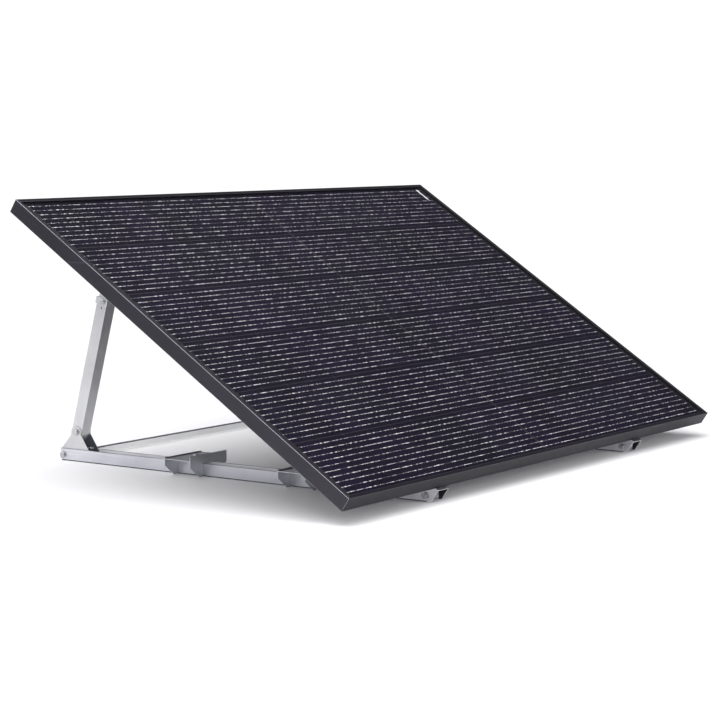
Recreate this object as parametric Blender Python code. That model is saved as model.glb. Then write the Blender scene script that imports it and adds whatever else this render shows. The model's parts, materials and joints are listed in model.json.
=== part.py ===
"""Framed solar module on two adjustable ground stands, built as separate parts.

World axes: X along the long side of the module, +Y towards its raised edge, +Z up.
The origin is on the ground, under the middle of the whole object. Sizes are in metres.
"""
import math

import bmesh
import bpy
from mathutils import Matrix

# Fits
GAP = 0.0003
BOLT_PLAY = 0.0003
PIVOT_PLAY = 0.002

# Module
MODULE_LENGTH = 1.722
MODULE_WIDTH = 1.134
FRAME_HEIGHT = 0.035
FRAME_WALL = 0.0016
LIP_WIDTH = 0.0095
LIP_THICKNESS = 0.0015
SEAT_WIDTH = 0.0115
FLANGE_THICKNESS = 0.0018
LONG_FLANGE = 0.032
SHORT_FLANGE = 0.018
KEY_LEG = 0.055
SEALANT = 0.0014
GLASS = 0.0032
CELLS = 0.001
BACKSHEET = 0.0006
LAMINATE = GLASS + CELLS + BACKSHEET + 2 * GAP
GROOVE = LAMINATE + 2 * GAP

# Junction boxes
BOX_LENGTH = 0.090
BOX_WIDTH = 0.060
BOX_HEIGHT = 0.017
BOX_WALL = 0.002
BOX_SPACING = 0.375
LID_THICKNESS = 0.002
DIODE = (0.011, 0.0095, 0.0045)
GLAND_LENGTH = 0.020
GLAND_RADIUS = 0.0065

# Stands
STAND_SPACING = 0.942
TILT = math.radians(32.9)
SHEET = 0.0015
BASE_WIDTH = 0.0404
BASE_HEIGHT = 0.0315
BASE_LENGTH = 1.125
BASE_CORNER = 0.008
BASE_NOSE = 0.0105
TOP_DEPTH = 0.040
TOP_OVERHANG_FRONT = 0.0075
TOP_END_MARGIN = 0.016
HINGE_HEIGHT = 0.0155
HINGE_ALONG = 0.0149
HINGE_BELOW = 0.0309
LEG_TOP_FROM_EDGE = 0.024
LEG_TOP_BELOW = 0.0227
FOOT_FROM_END = 0.052
FOOT_HEIGHT = 0.075
LOWER_DEPTH = 0.0326
LOWER_ABOVE_FOOT = 0.358
LEG_BELOW_FOOT = 0.0175
LEG_CORNER = 0.003
SHOE_BOLT_FROM_FOOT = 0.0335
SHOE_BOLT_HEAD = 0.033
LEG_OVERLAP = 0.150
COLLAR_SIDE = 0.002
COLLAR_BACK = 0.0030
COLLAR_HEIGHT = 0.017
INDEX_PITCH = 0.030
INDEX_HOLE = 0.0035

# Cross bar
BAR_BOTTOM = 0.0035
BAR_HEIGHT = 0.020
BAR_TAB = 0.021
BAR_TOP = 0.012
END_BOLT_FROM_END = 0.0085
END_BOLT_HEIGHT = 0.014

# Ballast brackets
PLATE = 0.002
BRACKET_LENGTH = 0.142
BRACKET_DEPTH = 0.081
WEB_HEIGHT = 0.043
FRONT_LIP = 0.011
REAR_LIP = 0.003
BRACKET_CHAMFER = (0.034, 0.026)
BRACKET_STATIONS = (0.390, 0.735)

# Fasteners
BOLT_RADIUS = 0.004
HEAD_FLATS = 0.013
HEAD_HEIGHT = 0.0053
NUT_HEIGHT = 0.0065
SIDES = 12

# Worked out from the sizes above
TOP_WIDTH = BASE_WIDTH + 2 * (SHEET + GAP)
SHOE_WIDTH = BASE_WIDTH - 2 * (SHEET + GAP)
LOWER_WIDTH = SHOE_WIDTH - 2 * (SHEET + GAP)
UPPER_WIDTH = LOWER_WIDTH - 2 * (SHEET + GAP)
UPPER_DEPTH = LOWER_DEPTH - 2 * (SHEET + GAP)
STAND_X = STAND_SPACING / 2
RAIL_TOP = -FRAME_HEIGHT - GAP
HINGE_V = HINGE_ALONG
HINGE_W = RAIL_TOP - HINGE_BELOW
LEG_TOP_V = MODULE_WIDTH - LEG_TOP_FROM_EDGE
LEG_TOP_W = RAIL_TOP - LEG_TOP_BELOW
MODULE_FRONT = HINGE_V * math.cos(TILT) - HINGE_W * math.sin(TILT)
HINGE_Y = (MODULE_FRONT + BASE_NOSE - BASE_LENGTH) / 2
MODULE_FRONT_Y = HINGE_Y - MODULE_FRONT
BASE_FRONT = HINGE_Y - BASE_NOSE
BASE_REAR = BASE_FRONT + BASE_LENGTH
FOOT_Y = BASE_REAR - FOOT_FROM_END
SHOE_BOLT_Y = FOOT_Y - SHOE_BOLT_FROM_FOOT
CHAMBER_TOP = -(LIP_THICKNESS + GROOVE + FRAME_WALL)
CHAMBER_BOTTOM = -FRAME_HEIGHT + FLANGE_THICKNESS
FIXING_IN = (SEAT_WIDTH + LONG_FLANGE) / 2
BACK_FACE = -(LIP_THICKNESS + GAP + LAMINATE)


def clear_scene():
    for item in list(bpy.data.objects):
        bpy.data.objects.remove(item)


def make_material(name, colour, roughness, metallic):
    material = bpy.data.materials.new(name)
    material.use_nodes = True
    shader = material.node_tree.nodes["Principled BSDF"]
    shader.inputs["Base Color"].default_value = (*colour, 1)
    shader.inputs["Roughness"].default_value = roughness
    shader.inputs["Metallic"].default_value = metallic
    return material


def make_pivot(name, place, turn, parent=None):
    pivot = bpy.data.objects.new(name, None)
    bpy.context.scene.collection.objects.link(pivot)
    pivot.parent = parent
    pivot.location = place
    pivot.rotation_euler = (turn, 0, 0)
    return pivot


def add_prism(shape, outline, axis, start, end):
    """Extrude a closed outline along one axis. Its points are in the other two axes, in order."""
    order = {"X": (2, 0, 1), "Y": (0, 2, 1), "Z": (0, 1, 2)}[axis]

    def point(across, height):
        values = (*across, height)
        return [values[place] for place in order]

    low = [shape.verts.new(point(spot, start)) for spot in outline]
    high = [shape.verts.new(point(spot, end)) for spot in outline]
    shape.faces.new(low)
    shape.faces.new(high)
    for place in range(len(outline)):
        after = (place + 1) % len(outline)
        shape.faces.new((low[place], low[after], high[after], high[place]))


def add_box(shape, low, high):
    outline = [(low[0], low[1]), (high[0], low[1]), (high[0], high[1]), (low[0], high[1])]
    add_prism(shape, outline, "Z", low[2], high[2])


def arc(centre, radius, start, end, steps=8):
    turns = [math.radians(start + (end - start) * step / steps) for step in range(steps + 1)]
    return [(centre[0] + radius * math.cos(turn), centre[1] + radius * math.sin(turn)) for turn in turns]


def add_hole(shape, centre, radius, axis, reach):
    """A round cutter through a wall, centred on the plane where its axis is zero."""
    add_prism(shape, arc(centre, radius, 0, 360 - 360 / SIDES, SIDES - 1), axis, reach[0], reach[1])


def to_mesh(name, shape):
    bmesh.ops.recalc_face_normals(shape, faces=shape.faces)
    mesh = bpy.data.meshes.new(name)
    shape.to_mesh(mesh)
    shape.free()
    return mesh


def make_part(name, shape, material, parent=None):
    part = bpy.data.objects.new(name, to_mesh(name, shape))
    part.parent = parent
    bpy.context.scene.collection.objects.link(part)
    part.data.materials.append(material)
    return part


def shape_with(part, shape, operation):
    """Cut a part with separate closed shapes, or join them to it, and keep the result as its mesh."""
    tool = bpy.data.objects.new("tool", to_mesh("tool", shape))
    tool.parent = part.parent
    tool.hide_render = True
    tool.display_type = "WIRE"
    bpy.context.scene.collection.objects.link(tool)
    modifier = part.modifiers.new("shape", "BOOLEAN")
    modifier.operation = operation
    modifier.object = tool
    bpy.context.view_layer.update()
    graph = bpy.context.evaluated_depsgraph_get()
    shaped = bpy.data.meshes.new_from_object(part.evaluated_get(graph))
    part.modifiers.clear()
    shaped.name = part.name
    part.data = shaped
    bpy.data.objects.remove(tool)


def make_turned(name, stations, centre, axis, material, parent=None):
    """A closed stepped rod. Each station is (place along the axis, round radius or hexagon flats)."""
    shape = bmesh.new()
    rings = []
    for height, form, size in stations:
        ring = []
        for step in range(SIDES):
            turn = 2 * math.pi * step / SIDES
            radius = size
            if form == "hex":
                off_flat = turn % (math.pi / 3) - math.pi / 6
                radius = size / 2 / math.cos(off_flat)
            u = centre[0] + radius * math.cos(turn)
            v = centre[1] + radius * math.sin(turn)
            point = {"X": (height, u, v), "Y": (u, height, v), "Z": (u, v, height)}[axis]
            ring.append(shape.verts.new(point))
        rings.append(ring)
    shape.faces.new(rings[0])
    shape.faces.new(rings[-1])
    for ring, following in zip(rings, rings[1:]):
        for step in range(SIDES):
            after = (step + 1) % SIDES
            shape.faces.new((ring[step], ring[after], following[after], following[step]))
    part = make_part(name, shape, material, parent)
    part.data.shade_smooth()
    part.data.set_sharp_from_angle(angle=math.radians(30))
    return part


def bolt_stations(head_face, nut_face, side):
    """Head outside head_face, nut outside nut_face; side is the direction from nut to head."""
    end = 0.004
    return [
        (head_face + side * HEAD_HEIGHT, "hex", HEAD_FLATS),
        (head_face, "hex", HEAD_FLATS),
        (head_face, "round", BOLT_RADIUS),
        (nut_face, "round", BOLT_RADIUS),
        (nut_face, "hex", HEAD_FLATS),
        (nut_face - side * NUT_HEIGHT, "hex", HEAD_FLATS),
        (nut_face - side * NUT_HEIGHT, "round", BOLT_RADIUS),
        (nut_face - side * (NUT_HEIGHT + end), "round", BOLT_RADIUS),
    ]


def frame_outline(flange):
    seat = -(LIP_THICKNESS + GROOVE)
    return [
        (0, 0),
        (LIP_WIDTH, 0),
        (LIP_WIDTH, -LIP_THICKNESS),
        (FRAME_WALL, -LIP_THICKNESS),
        (FRAME_WALL, seat),
        (SEAT_WIDTH, seat),
        (SEAT_WIDTH, CHAMBER_BOTTOM),
        (flange, CHAMBER_BOTTOM),
        (flange, -FRAME_HEIGHT),
        (0, -FRAME_HEIGHT),
    ]


def make_frame_side(name, length, across, flange, turn, material, parent):
    """One mitred extrusion, made along X with its inside towards +Y, then turned into place."""
    shape = bmesh.new()
    ends = []
    for side in (-1, 1):
        ring = []
        for inward, height in frame_outline(flange):
            ring.append(shape.verts.new((side * (length / 2 - inward - GAP), inward, height)))
        ends.append(ring)
    shape.faces.new(ends[0])
    shape.faces.new(ends[1])
    for place in range(len(ends[0])):
        after = (place + 1) % len(ends[0])
        shape.faces.new((ends[0][place], ends[0][after], ends[1][after], ends[1][place]))
    part = make_part(name, shape, material, parent)
    chamber = bmesh.new()
    reach = length
    add_box(chamber, (-reach, FRAME_WALL, CHAMBER_BOTTOM), (reach, SEAT_WIDTH - FRAME_WALL, CHAMBER_TOP))
    if flange == LONG_FLANGE:
        for side in (-1, 1):
            add_hole(
                chamber, (side * STAND_X, FIXING_IN), BOLT_RADIUS + BOLT_PLAY, "Z",
                (-FRAME_HEIGHT - 0.001, CHAMBER_BOTTOM + 0.001),
            )
    shape_with(part, chamber, "DIFFERENCE")
    middle = MODULE_WIDTH / 2
    place = Matrix.Translation((0, middle - HINGE_V, -HINGE_W))
    part.data.transform(place @ Matrix.Rotation(turn, 4, "Z") @ Matrix.Translation((0, -across / 2, 0)))
    return part


def make_corner_key(name, side_x, side_y, material, parent):
    near = FRAME_WALL + GAP
    far = SEAT_WIDTH - FRAME_WALL - GAP
    outline = [(near, near), (KEY_LEG, near), (KEY_LEG, far), (far, far), (far, KEY_LEG), (near, KEY_LEG)]
    placed = []
    for along, across in outline:
        x = side_x * (MODULE_LENGTH / 2 - along)
        y = side_y * (MODULE_WIDTH / 2 - across) + MODULE_WIDTH / 2 - HINGE_V
        placed.append((x, y))
    shape = bmesh.new()
    add_prism(shape, placed, "Z", CHAMBER_BOTTOM + GAP - HINGE_W, CHAMBER_TOP - GAP - HINGE_W)
    make_part(name, shape, material, parent)


def make_module(parent, finish):
    for name, length, across, flange, turn in (
        ("frame_front", MODULE_LENGTH, MODULE_WIDTH, LONG_FLANGE, 0),
        ("frame_rear", MODULE_LENGTH, MODULE_WIDTH, LONG_FLANGE, math.pi),
        ("frame_right", MODULE_WIDTH, MODULE_LENGTH, SHORT_FLANGE, math.pi / 2),
        ("frame_left", MODULE_WIDTH, MODULE_LENGTH, SHORT_FLANGE, -math.pi / 2),
    ):
        make_frame_side(name, length, across, flange, turn, finish["frame"], parent)
    for end, side_y in (("front", -1), ("rear", 1)):
        for hand, side_x in (("left", -1), ("right", 1)):
            make_corner_key(f"corner_key_{end}_{hand}", side_x, side_y, finish["alloy"], parent)
    inset = FRAME_WALL + SEALANT
    top = -LIP_THICKNESS - GAP
    for name, thickness in (("front_glass", GLASS), ("cell_layer", CELLS), ("backsheet", BACKSHEET)):
        shape = bmesh.new()
        add_box(
            shape,
            (-MODULE_LENGTH / 2 + inset, inset - HINGE_V, top - thickness - HINGE_W),
            (MODULE_LENGTH / 2 - inset, MODULE_WIDTH - inset - HINGE_V, top - HINGE_W),
        )
        make_part(name, shape, finish[name], parent)
        top -= thickness + GAP


def make_junction_box(number, parent, finish):
    """Shell with its floor against the backsheet, a lid below it and a diode inside."""
    middle = MODULE_WIDTH / 2 - HINGE_V + (number - 2) * BOX_SPACING
    floor = BACK_FACE - GAP - HINGE_W
    mouth = floor - BOX_HEIGHT
    half = (BOX_LENGTH / 2, BOX_WIDTH / 2)
    shell = bmesh.new()
    add_box(shell, (-half[0], middle - half[1], mouth), (half[0], middle + half[1], floor))
    shell_part = make_part(f"junction_box_{number}", shell, finish["plastic"], parent)
    hollow = bmesh.new()
    add_box(
        hollow,
        (-half[0] + BOX_WALL, middle - half[1] + BOX_WALL, mouth - BOX_WALL),
        (half[0] - BOX_WALL, middle + half[1] - BOX_WALL, floor - BOX_WALL),
    )
    shape_with(shell_part, hollow, "DIFFERENCE")
    lid = bmesh.new()
    add_box(
        lid,
        (-half[0], middle - half[1], mouth - GAP - LID_THICKNESS),
        (half[0], middle + half[1], mouth - GAP),
    )
    make_part(f"junction_box_lid_{number}", lid, finish["plastic"], parent)
    diode = bmesh.new()
    seat = floor - BOX_WALL - GAP
    add_box(
        diode,
        (-DIODE[0] / 2, middle - DIODE[1] / 2, seat - DIODE[2]),
        (DIODE[0] / 2, middle + DIODE[1] / 2, seat),
    )
    make_part(f"bypass_diode_{number}", diode, finish["chip"], parent)


def make_gland(name, side, number, parent, finish):
    """Stepped cable gland on the end of a junction box, facing along the module."""
    middle = MODULE_WIDTH / 2 - HINGE_V + (number - 2) * BOX_SPACING
    height = BACK_FACE - GAP - HINGE_W - BOX_HEIGHT / 2
    start = side * (BOX_LENGTH / 2 + GAP)
    stations = [
        (start, "hex", 2 * GLAND_RADIUS),
        (start + side * GLAND_LENGTH * 0.3, "hex", 2 * GLAND_RADIUS),
        (start + side * GLAND_LENGTH * 0.3, "round", GLAND_RADIUS * 0.85),
        (start + side * GLAND_LENGTH, "round", GLAND_RADIUS * 0.7),
    ]
    make_turned(name, stations, (middle, height), "X", finish["plastic"], parent)


def make_top_rail(hand, side, parent, finish):
    """Channel under the module, open downwards, with the hinge at its front and the leg at its rear."""
    x = side * STAND_X
    front = -TOP_OVERHANG_FRONT - HINGE_V
    rear = LEG_TOP_V + TOP_END_MARGIN - HINGE_V
    top = RAIL_TOP - HINGE_W
    bottom = top - TOP_DEPTH
    leg_top = (LEG_TOP_V - HINGE_V, LEG_TOP_W - HINGE_W)
    nose_cut = (0.0096, 0.008)
    corner = TOP_END_MARGIN - GAP
    outline = [(front, top), (front, bottom + nose_cut[1]), (front + nose_cut[0], bottom)]
    outline += arc((rear - corner, bottom + corner), corner, -90, 0)
    outline += [(rear, top)]
    shape = bmesh.new()
    add_prism(shape, outline, "X", x - TOP_WIDTH / 2, x + TOP_WIDTH / 2)
    rail = make_part(f"top_rail_{hand}", shape, finish["alloy"], parent)
    cutter = bmesh.new()
    inner = TOP_WIDTH / 2 - SHEET
    add_box(cutter, (x - inner, front - 0.01, bottom - 0.01), (x + inner, rear + 0.01, top - SHEET))
    shape_with(rail, cutter, "DIFFERENCE")
    holes = bmesh.new()
    reach = (x - TOP_WIDTH, x + TOP_WIDTH)
    add_hole(holes, (0, 0), BOLT_RADIUS + BOLT_PLAY, "X", reach)
    add_hole(holes, (0.010, -0.0025), 0.0025, "X", reach)
    add_hole(holes, leg_top, BOLT_RADIUS + BOLT_PLAY, "X", reach)
    for inward in (FIXING_IN, MODULE_WIDTH - FIXING_IN):
        add_hole(
            holes, (x, inward - HINGE_V), BOLT_RADIUS + BOLT_PLAY, "Z", (top - SHEET - 0.001, top + 0.001)
        )
    shape_with(rail, holes, "DIFFERENCE")


def make_module_bolt(end, inward, hand, side, parent, finish):
    """Bolt through the rail's web and the frame's lower flange, with its nut inside the frame."""
    head_face = RAIL_TOP - SHEET - GAP - HINGE_W
    nut_face = CHAMBER_BOTTOM + GAP - HINGE_W
    centre = (side * STAND_X, inward - HINGE_V)
    stations = bolt_stations(head_face, nut_face, -1)
    make_turned(f"module_bolt_{end}_{hand}", stations, centre, "Z", finish["bolt"], parent)


def make_leg_top_bolt(hand, side, parent, finish):
    """Bolt across the rail that carries the leg, with a spacer sleeve on each side of the leg."""
    x = side * STAND_X
    outer = TOP_WIDTH / 2 + GAP
    sleeve_out = TOP_WIDTH / 2 - SHEET - GAP
    sleeve_in = UPPER_WIDTH / 2 + GAP
    sleeve = 0.007
    stations = bolt_stations(x + side * outer, x - side * outer, side)
    sleeves = [
        (x + side * sleeve_out, "round", BOLT_RADIUS),
        (x + side * sleeve_out, "round", sleeve),
        (x + side * sleeve_in, "round", sleeve),
        (x + side * sleeve_in, "round", BOLT_RADIUS),
        (x - side * sleeve_in, "round", BOLT_RADIUS),
        (x - side * sleeve_in, "round", sleeve),
        (x - side * sleeve_out, "round", sleeve),
        (x - side * sleeve_out, "round", BOLT_RADIUS),
    ]
    centre = (LEG_TOP_V - HINGE_V, LEG_TOP_W - HINGE_W)
    stations = stations[:3] + sleeves + stations[3:]
    make_turned(f"leg_top_bolt_{hand}", stations, centre, "X", finish["bolt"], parent)


def make_base_rail(hand, side, finish):
    x = side * STAND_X
    outline = arc((BASE_FRONT + BASE_CORNER, BASE_CORNER), BASE_CORNER, 180, 270)
    outline += arc((BASE_REAR - BASE_CORNER, BASE_CORNER), BASE_CORNER, 270, 360)
    outline += [(BASE_REAR, BASE_HEIGHT), (BASE_FRONT, BASE_HEIGHT)]
    shape = bmesh.new()
    add_prism(shape, outline, "X", x - BASE_WIDTH / 2, x + BASE_WIDTH / 2)
    rail = make_part(f"base_rail_{hand}", shape, finish["alloy"])
    cutter = bmesh.new()
    inner = BASE_WIDTH / 2 - SHEET
    add_box(cutter, (x - inner, BASE_FRONT - 0.01, SHEET), (x + inner, BASE_REAR + 0.01, BASE_HEIGHT + 0.01))
    shape_with(rail, cutter, "DIFFERENCE")
    holes = bmesh.new()
    reach = (x - BASE_WIDTH, x + BASE_WIDTH)
    for centre in ((HINGE_Y, HINGE_HEIGHT), end_bolt_place()):
        add_hole(holes, centre, BOLT_RADIUS + BOLT_PLAY, "X", reach)
    upright_bolts = [MODULE_FRONT_Y + station for station in BRACKET_STATIONS] + [SHOE_BOLT_Y]
    for y in upright_bolts:
        add_hole(holes, (x, y), BOLT_RADIUS + BOLT_PLAY, "Z", (-0.001, SHEET + 0.001))
    shape_with(rail, holes, "DIFFERENCE")


def end_bolt_place():
    return (BASE_REAR - END_BOLT_FROM_END, END_BOLT_HEIGHT)


def make_shoe(hand, side, finish):
    """Bracket inside the base rail with two cheeks that flare from the pivot down to the rail."""
    x = side * STAND_X
    floor = SHEET + GAP
    rail_edge = BASE_HEIGHT
    cheek = LOWER_DEPTH / 2 + 0.0003
    toe = FOOT_Y - 0.062
    heel = BASE_REAR - 0.003
    outline = [(toe, floor), (heel, floor), (heel, rail_edge)]
    outline += arc((FOOT_Y, FOOT_HEIGHT), cheek, -20, 200, 14)
    shape = bmesh.new()
    add_prism(shape, outline, "X", x - SHOE_WIDTH / 2, x + SHOE_WIDTH / 2)
    shoe = make_part(f"foot_shoe_{hand}", shape, finish["alloy"])
    cutter = bmesh.new()
    inner = SHOE_WIDTH / 2 - SHEET
    add_box(cutter, (x - inner, toe - 0.01, floor + SHEET), (x + inner, heel + 0.01, FOOT_HEIGHT + 0.05))
    shape_with(shoe, cutter, "DIFFERENCE")
    holes = bmesh.new()
    for centre in ((FOOT_Y, FOOT_HEIGHT), end_bolt_place()):
        add_hole(holes, centre, BOLT_RADIUS + BOLT_PLAY, "X", (x - BASE_WIDTH, x + BASE_WIDTH))
    add_hole(holes, (x, SHOE_BOLT_Y), BOLT_RADIUS + BOLT_PLAY, "Z", (0, 2 * SHEET + 2 * GAP))
    shape_with(shoe, holes, "DIFFERENCE")


def make_cross_bar(finish):
    """Angle just above the ground between the base rails, its ends bent back as tabs and bolted to them."""
    half = STAND_X - BASE_WIDTH / 2 - GAP
    rear = BASE_REAR - 0.002
    front = rear - BAR_TAB
    shape = bmesh.new()
    outline = [
        (-half, rear), (-half, front), (half, front), (half, rear),
        (half - PLATE, rear), (half - PLATE, front + PLATE),
        (-half + PLATE, front + PLATE), (-half + PLATE, rear),
    ]
    add_prism(shape, outline, "Z", BAR_BOTTOM, BAR_HEIGHT)
    bar = make_part("cross_bar", shape, finish["steel"])
    top = bmesh.new()
    inner = half - PLATE - HEAD_FLATS - NUT_HEIGHT
    add_box(top, (-inner, front + PLATE / 2, BAR_HEIGHT - PLATE), (inner, front + BAR_TOP, BAR_HEIGHT))
    shape_with(bar, top, "UNION")
    holes = bmesh.new()
    add_hole(holes, end_bolt_place(), BOLT_RADIUS + BOLT_PLAY, "X", (-STAND_X, STAND_X))
    shape_with(bar, holes, "DIFFERENCE")


def make_ballast_bracket(row, station, hand, side, finish):
    """Plate held above the base rail by two upright flanges that straddle it."""
    x = side * STAND_X
    half = BRACKET_LENGTH / 2
    front = MODULE_FRONT_Y + station - BRACKET_DEPTH / 2
    rear = front + BRACKET_DEPTH
    notch = BASE_WIDTH / 2 + GAP
    chamfer, rise = BRACKET_CHAMFER

    def flange_outline(height):
        foot = half - chamfer
        return [
            (x - half, height), (x - half, rise), (x - foot, 0), (x - notch, 0),
            (x - notch, BASE_HEIGHT + GAP), (x + notch, BASE_HEIGHT + GAP), (x + notch, 0),
            (x + foot, 0), (x + half, rise), (x + half, height),
        ]

    shape = bmesh.new()
    add_box(
        shape,
        (x - half, front + PLATE / 2, WEB_HEIGHT - PLATE),
        (x + half, rear - PLATE / 2, WEB_HEIGHT),
    )
    bracket = make_part(f"ballast_bracket_{row}_{hand}", shape, finish["steel"])
    flanges = bmesh.new()
    add_prism(flanges, flange_outline(WEB_HEIGHT + FRONT_LIP), "Y", front, front + PLATE)
    add_prism(flanges, flange_outline(WEB_HEIGHT + REAR_LIP), "Y", rear - PLATE, rear)
    shape_with(bracket, flanges, "UNION")
    hole = bmesh.new()
    centre = (x, MODULE_FRONT_Y + station)
    add_hole(hole, centre, BOLT_RADIUS + BOLT_PLAY, "Z", (WEB_HEIGHT - PLATE - 0.001, WEB_HEIGHT + 0.001))
    shape_with(bracket, hole, "DIFFERENCE")
    make_upright_bolt(f"ballast_bolt_{row}_{hand}", centre, WEB_HEIGHT + GAP, 0.014, SHEET + GAP, finish)


def make_upright_bolt(name, centre, head_face, insert_top, insert_bottom, finish):
    """Bolt that stands in the base rail, in a threaded insert or spacer that rests on the web."""
    insert = BOLT_RADIUS + 0.002
    stations = [
        (head_face + HEAD_HEIGHT, "hex", HEAD_FLATS),
        (head_face, "hex", HEAD_FLATS),
        (head_face, "round", BOLT_RADIUS),
        (insert_top, "round", BOLT_RADIUS),
        (insert_top, "round", insert),
        (insert_bottom, "round", insert),
        (insert_bottom, "round", BOLT_RADIUS),
        (GAP, "round", BOLT_RADIUS),
    ]
    make_turned(name, stations, centre, "Z", finish["bolt"])


def make_cross_bolt(name, x, side, head_at, nut_at, centre, finish, parent=None):
    stations = bolt_stations(x + side * (head_at + GAP), x - side * (nut_at + GAP), side)
    make_turned(name, stations, centre, "X", finish["bolt"], parent)


def make_lower_leg(hand, side, parent, finish):
    """Outer tube of the telescopic leg, made along Z from its foot pivot."""
    x = side * STAND_X
    depth = LOWER_DEPTH / 2
    corner = LEG_CORNER
    outline = arc((corner - depth, corner - LEG_BELOW_FOOT), corner, 180, 270)
    outline += arc((depth - corner, corner - LEG_BELOW_FOOT), corner, 270, 360)
    outline += [(depth, LOWER_ABOVE_FOOT), (-depth, LOWER_ABOVE_FOOT)]
    shape = bmesh.new()
    add_prism(shape, outline, "X", x - LOWER_WIDTH / 2, x + LOWER_WIDTH / 2)
    leg = make_part(f"lower_leg_{hand}", shape, finish["alloy"], parent)
    cutter = bmesh.new()
    inner = (LOWER_WIDTH / 2 - SHEET, depth - SHEET)
    add_box(cutter, (x - inner[0], -inner[1], -0.05), (x + inner[0], inner[1], LOWER_ABOVE_FOOT + 0.01))
    shape_with(leg, cutter, "DIFFERENCE")
    holes = bmesh.new()
    add_hole(holes, (0, 0), BOLT_RADIUS + BOLT_PLAY, "X", (x - BASE_WIDTH, x + BASE_WIDTH))
    outer_wall = sorted((x + side * inner[0] * 0.8, x + side * BASE_WIDTH))
    add_hole(holes, clamp_place(), BOLT_RADIUS + BOLT_PLAY, "X", outer_wall)
    add_hole(holes, (-0.003, clamp_place()[1] - 0.016), INDEX_HOLE, "X", outer_wall)
    shape_with(leg, holes, "DIFFERENCE")


def clamp_place():
    return (-0.004, LOWER_ABOVE_FOOT - COLLAR_HEIGHT / 2)


def make_upper_leg(hand, side, parent, finish, reach):
    """Inner tube of the leg, in the same frame as the outer one, with a row of index holes."""
    x = side * STAND_X
    depth = UPPER_DEPTH / 2
    low = LOWER_ABOVE_FOOT - LEG_OVERLAP
    outline = [(-depth, low), (depth, low)] + arc((0, reach), depth, 0, 180)
    shape = bmesh.new()
    add_prism(shape, outline, "X", x - UPPER_WIDTH / 2, x + UPPER_WIDTH / 2)
    leg = make_part(f"upper_leg_{hand}", shape, finish["alloy"], parent)
    cutter = bmesh.new()
    inner = (UPPER_WIDTH / 2 - SHEET, depth - SHEET)
    add_box(cutter, (x - inner[0], -inner[1], low - 0.01), (x + inner[0], inner[1], reach + 0.05))
    shape_with(leg, cutter, "DIFFERENCE")
    holes = bmesh.new()
    wide = (x - BASE_WIDTH, x + BASE_WIDTH)
    add_hole(holes, (0, reach), BOLT_RADIUS + PIVOT_PLAY, "X", wide)
    place = LOWER_ABOVE_FOOT + COLLAR_HEIGHT / 2
    while place > low + INDEX_PITCH:
        place -= INDEX_PITCH
    while place < reach - 2 * depth:
        add_hole(holes, (0.002, place), INDEX_HOLE, "X", wide)
        place += INDEX_PITCH
    shape_with(leg, holes, "DIFFERENCE")


def make_collar(hand, side, parent, finish):
    """Band clamped round the top of the lower leg, thicker at the back, with its clamp screw."""
    x = side * STAND_X
    hole_half = (LOWER_WIDTH / 2 + GAP, LOWER_DEPTH / 2 + GAP)
    bottom = LOWER_ABOVE_FOOT - COLLAR_HEIGHT
    shape = bmesh.new()
    outer_x = hole_half[0] + COLLAR_SIDE
    add_box(
        shape,
        (x - outer_x, -hole_half[1] - COLLAR_SIDE, bottom),
        (x + outer_x, hole_half[1] + COLLAR_BACK, LOWER_ABOVE_FOOT),
    )
    collar = make_part(f"leg_collar_{hand}", shape, finish["steel"], parent)
    cutter = bmesh.new()
    add_box(
        cutter,
        (x - hole_half[0], -hole_half[1], bottom - 0.01),
        (x + hole_half[0], hole_half[1], LOWER_ABOVE_FOOT + 0.01),
    )
    shape_with(collar, cutter, "DIFFERENCE")
    hole = bmesh.new()
    outer_wall = sorted((x + side * 0.01, x + side * BASE_WIDTH))
    add_hole(hole, clamp_place(), BOLT_RADIUS + BOLT_PLAY, "X", outer_wall)
    shape_with(collar, hole, "DIFFERENCE")
    face = x + side * (outer_x + GAP)
    stations = [
        (face + side * HEAD_HEIGHT, "hex", HEAD_FLATS),
        (face, "hex", HEAD_FLATS),
        (face, "round", BOLT_RADIUS),
        (x + side * (UPPER_WIDTH / 2 + GAP), "round", BOLT_RADIUS),
    ]
    make_turned(f"clamp_screw_{hand}", stations, clamp_place(), "X", finish["bolt"], parent)


def make_leg(hand, side, finish):
    """The leg stands on its foot pivot and points at the top pivot, wherever the tilt puts that."""
    along = LEG_TOP_V - HINGE_V
    above = LEG_TOP_W - HINGE_W
    top_y = HINGE_Y + along * math.cos(TILT) - above * math.sin(TILT)
    top_z = HINGE_HEIGHT + along * math.sin(TILT) + above * math.cos(TILT)
    lean = math.atan2(FOOT_Y - top_y, top_z - FOOT_HEIGHT)
    reach = math.hypot(FOOT_Y - top_y, top_z - FOOT_HEIGHT)
    foot = make_pivot(f"foot_pivot_{hand}", (0, FOOT_Y, FOOT_HEIGHT), lean)
    slide = make_pivot(f"leg_slide_{hand}", (0, 0, 0), 0, foot)
    make_lower_leg(hand, side, foot, finish)
    make_collar(hand, side, foot, finish)
    make_upper_leg(hand, side, slide, finish, reach)


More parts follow.
